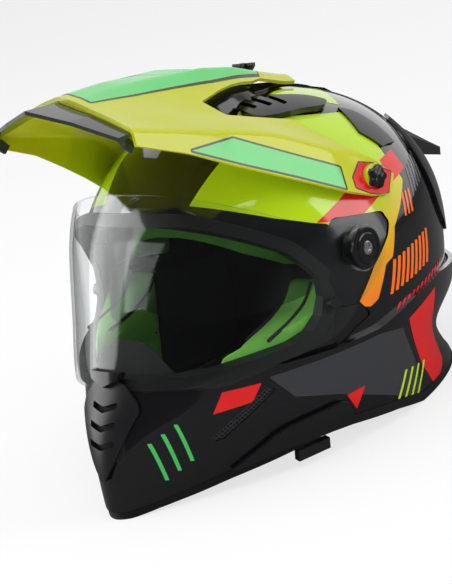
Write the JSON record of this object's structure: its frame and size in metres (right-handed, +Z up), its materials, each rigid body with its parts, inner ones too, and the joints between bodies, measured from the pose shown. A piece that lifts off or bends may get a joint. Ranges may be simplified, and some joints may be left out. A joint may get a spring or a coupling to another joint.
{
  "type": "dual sport helmet",
  "caption": "Full-face dual sport helmet with a long vented peak, hinged clear shield, drop-down inner lens, chin vent, padded liner and ratchet chin strap.",
  "frame": {"origin": "centre of the bounding box on the surface the helmet stands on", "axes": "+Z up, -Y towards the front of the helmet, +X towards the wearer's left"},
  "size_m": [0.2544, 0.3812, 0.2754],
  "materials": {
    "shell": "gloss",
    "peak": "gloss",
    "tint": "smoked, gloss",
    "black": "satin",
    "clear": "polished",
    "smoke": "polished",
    "foam": "matt",
    "cloth": "matt",
    "dark_cloth": "matt",
    "rubber": "matt",
    "webbing": "matt",
    "grey": "satin",
    "mesh": "matt",
    "steel": "satin"
  },
  "bodies": {
    "helmet": {"outer_shell": "shell", "impact_liner": "foam", "crown_liner": "cloth", "brow_pad": "cloth", "chin_liner": "foam", "cheek_foam_left": "foam", "cheek_foam_right": "foam", "cheek_pad_left": "cloth", "cheek_pad_right": "cloth", "neck_roll": "dark_cloth", "bottom_trim": "rubber", "side_cover_left": "black", "side_cover_right": "black", "pivot_base_left": "black", "pivot_base_right": "black", "pod_cover_left": "black", "pod_cover_right": "black", "shield_cap_left": "black", "shield_cap_right": "black", "cap_screw_left": "steel", "cap_screw_right": "steel", "sun_pivot_left": "black", "sun_pivot_right": "black", "top_vent_left": "black", "top_vent_right": "black", "crown_ridge": "shell", "rear_strip_left": "black", "rear_strip_right": "black", "rear_spoiler": "black", "rear_panel_left": "shell", "rear_panel_right": "shell", "rear_exhaust": "black", "chin_cover": "grey", "chin_cap": "black", "side_mesh_left": "mesh", "side_mesh_right": "mesh", "breath_guard": "dark_cloth", "eyeport_gasket": "rubber", "strap_left": "webbing", "strap_right": "webbing", "strap_rivet_left": "steel", "strap_rivet_right": "steel", "buckle_housing": "steel", "buckle_tongue": "steel"},
    "shield": {"face_shield": "clear", "shield_pin_left": "black", "shield_pin_right": "black"},
    "inner_lens": {"sun_lens": "smoke"},
    "lens_lever": {"sun_lever": "black"},
    "peak_body": {"peak": "peak", "deflector": "tint", "deflector_tip_left": "tint", "deflector_tip_right": "tint"},
    "crown_knob": {"top_screw": "black"},
    "left_knob": {"side_screw_left": "black"},
    "right_knob": {"side_screw_right": "black"},
    "vent_shutter": {"chin_shutter": "black"},
    "strap_release": {"buckle_lever": "black"}
  },
  "joints": [
    {"name": "shield_hinge", "type": "hinge", "parent": "helmet", "child": "shield", "pos_m": [0, -0.02537, 0.12882], "axis": [-1, 0, 0], "range_deg": [0, 30]},
    {"name": "lever_slide", "type": "slide", "parent": "helmet", "child": "lens_lever", "axis": [0.3704, 0.9289, 0], "range_m": [0, 0.014]},
    {"name": "lens_hinge", "type": "hinge", "parent": "helmet", "child": "inner_lens", "pos_m": [0, -0.02882, 0.13166], "axis": [-1, 0, 0], "range_deg": [0, 20]},
    {"name": "peak_tilt", "type": "hinge", "parent": "helmet", "child": "peak_body", "pos_m": [0, 0.01012, 0.16476], "axis": [-1, 0, 0], "range_deg": [0, 2]},
    {"name": "crown_knob_turn", "type": "hinge", "parent": "helmet", "child": "crown_knob", "pos_m": [0, 0.03428, 0.23164], "axis": [0, 0.2249, 0.9744], "continuous": true},
    {"name": "left_knob_turn", "type": "hinge", "parent": "helmet", "child": "left_knob", "pos_m": [0.114, 0.01012, 0.16476], "axis": [1, 0, 0], "continuous": true},
    {"name": "right_knob_turn", "type": "hinge", "parent": "helmet", "child": "right_knob", "pos_m": [-0.114, 0.01012, 0.16476], "axis": [-1, 0, 0], "continuous": true},
    {"name": "shutter_slide", "type": "slide", "parent": "helmet", "child": "vent_shutter", "axis": [0, 0.3741, 0.9274], "range_m": [0, 0.006]},
    {"name": "release_hinge", "type": "hinge", "parent": "helmet", "child": "strap_release", "pos_m": [0.04, -0.02387, 0.01968], "axis": [0, 0.9744, -0.2249], "range_deg": [0, 60]}
  ],
  "couplings": [
    {"joint": "lens_hinge", "follows": "lever_slide", "rad_per_m": 24.933}
  ]
}
